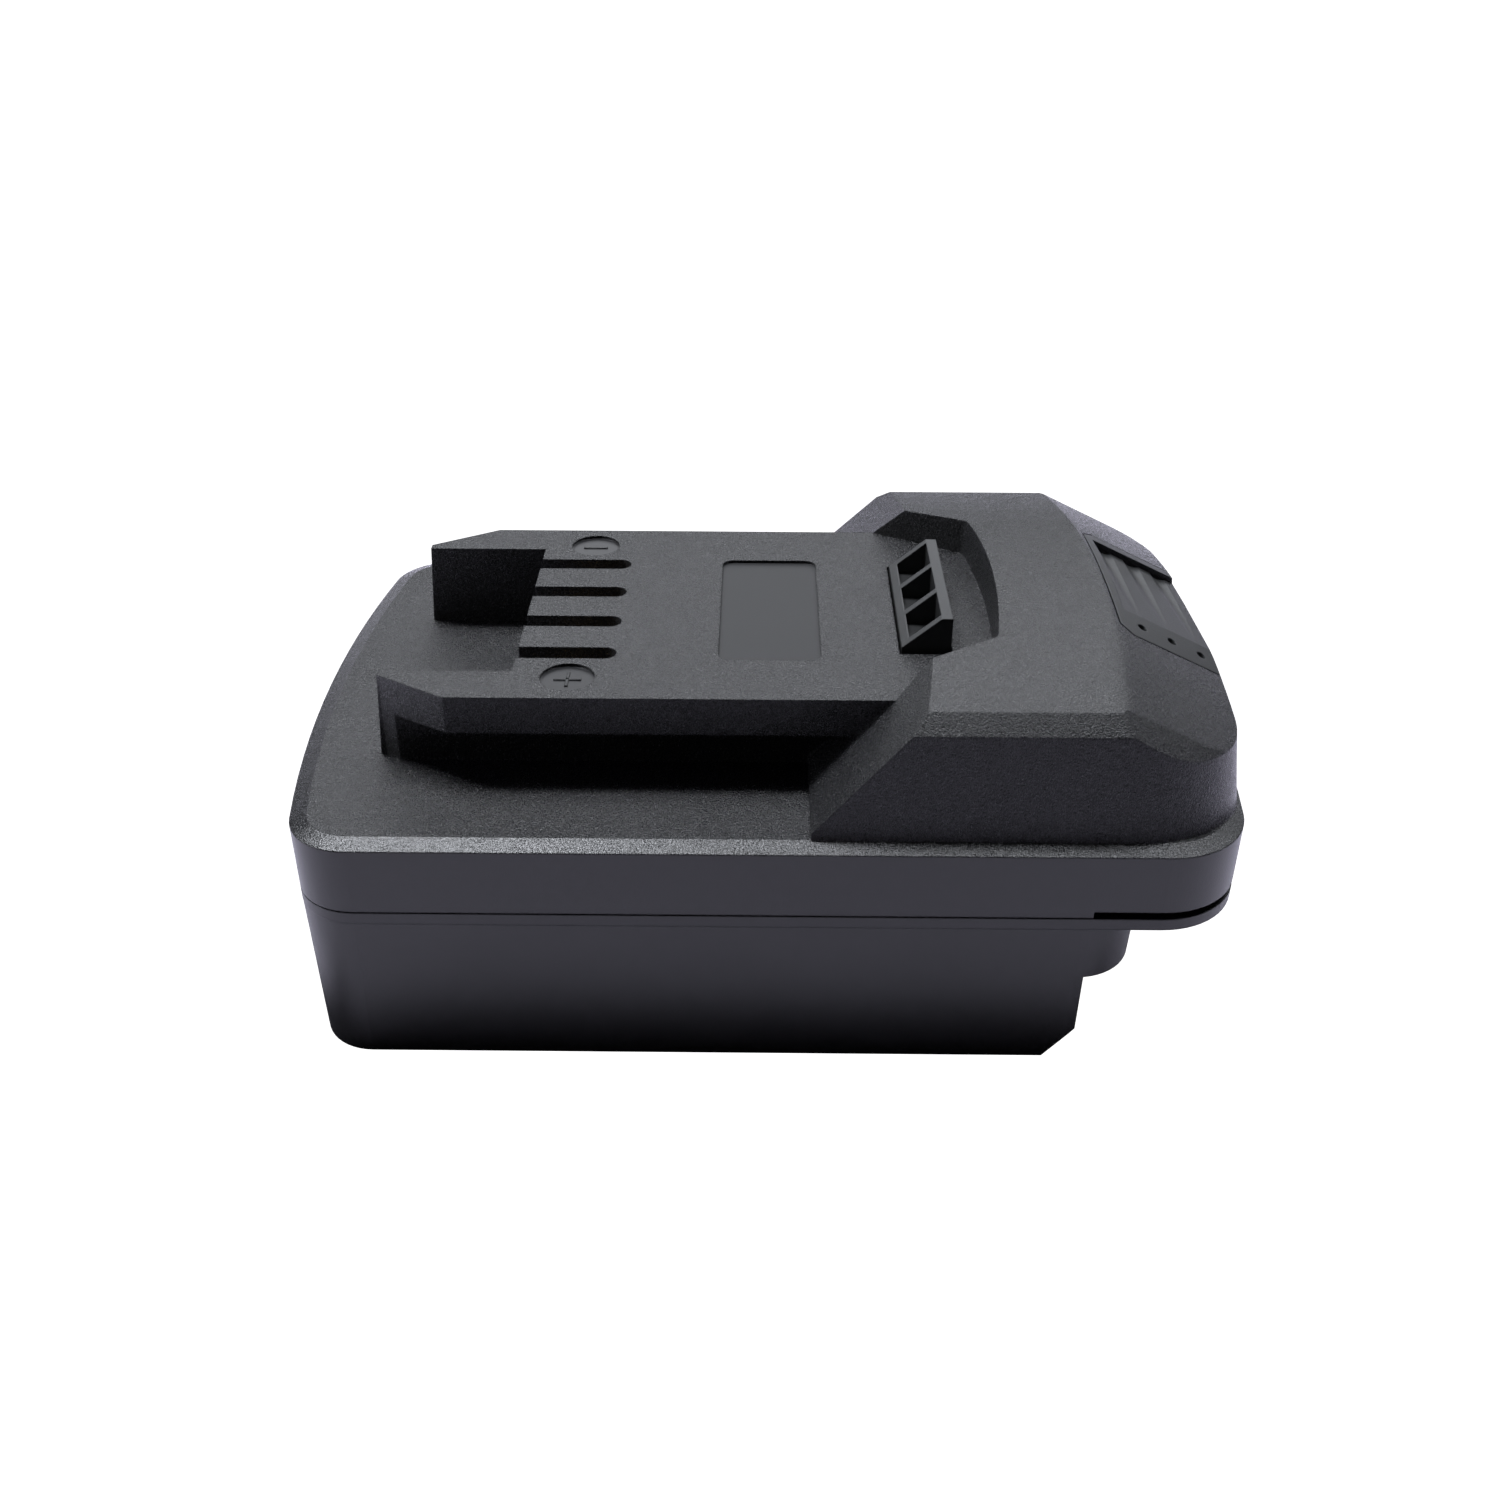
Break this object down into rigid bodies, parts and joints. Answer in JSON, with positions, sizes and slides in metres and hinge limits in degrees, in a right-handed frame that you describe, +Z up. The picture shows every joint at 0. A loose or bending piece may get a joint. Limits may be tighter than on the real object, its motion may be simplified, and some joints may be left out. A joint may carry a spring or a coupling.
{
  "type": "tool battery adapter",
  "caption": "Adapter with T-shaped tool rails and contact slots on top, a sprung latch with release button at one end, and a slide-in battery receiver underneath.",
  "frame": {"origin": "middle of the bounding box's base, on the plane of the lower housing's rim", "axes": "+X along the length towards the release button, +Y to the far side in the picture, +Z up"},
  "size_m": [0.1186, 0.078, 0.0493],
  "materials": {
    "housing": "spark textured black",
    "button": "satin black",
    "latch": "satin black",
    "holder": "plain moulded",
    "contact": "bare sheet",
    "spring": "drawn wire",
    "screw": "dark zinc",
    "board": "solder mask",
    "component": "moulded case",
    "capacitor": "sleeved can",
    "lead_red": "insulation",
    "lead_black": "insulation",
    "lead_white": "insulation"
  },
  "bodies": {
    "housing": {"upper_housing": "housing", "lower_housing": "housing", "latch_spring_left": "spring", "latch_spring_right": "spring", "terminal_holder": "holder", "positive_contact": "contact", "signal_contact_right": "contact", "signal_contact_left": "contact", "negative_contact": "contact", "circuit_board": "board", "power_transistors": "component", "capacitor": "capacitor", "blade_block": "holder", "positive_blade": "contact", "signal_blade": "contact", "negative_blade": "contact", "positive_lead": "lead_red", "signal_lead": "lead_white", "negative_lead": "lead_black", "case_screws": "screw", "board_screws": "screw"},
    "latch": {"release_button": "button", "latch_slider": "latch"}
  },
  "joints": [
    {"name": "latch_press", "type": "slide", "parent": "housing", "child": "latch", "axis": [0, 0, -1], "range_m": [0, 0.0048], "stiffness_N_per_m": 800, "springref_m": -0.004, "deforming": ["latch_spring_left", "latch_spring_right"]}
  ]
}
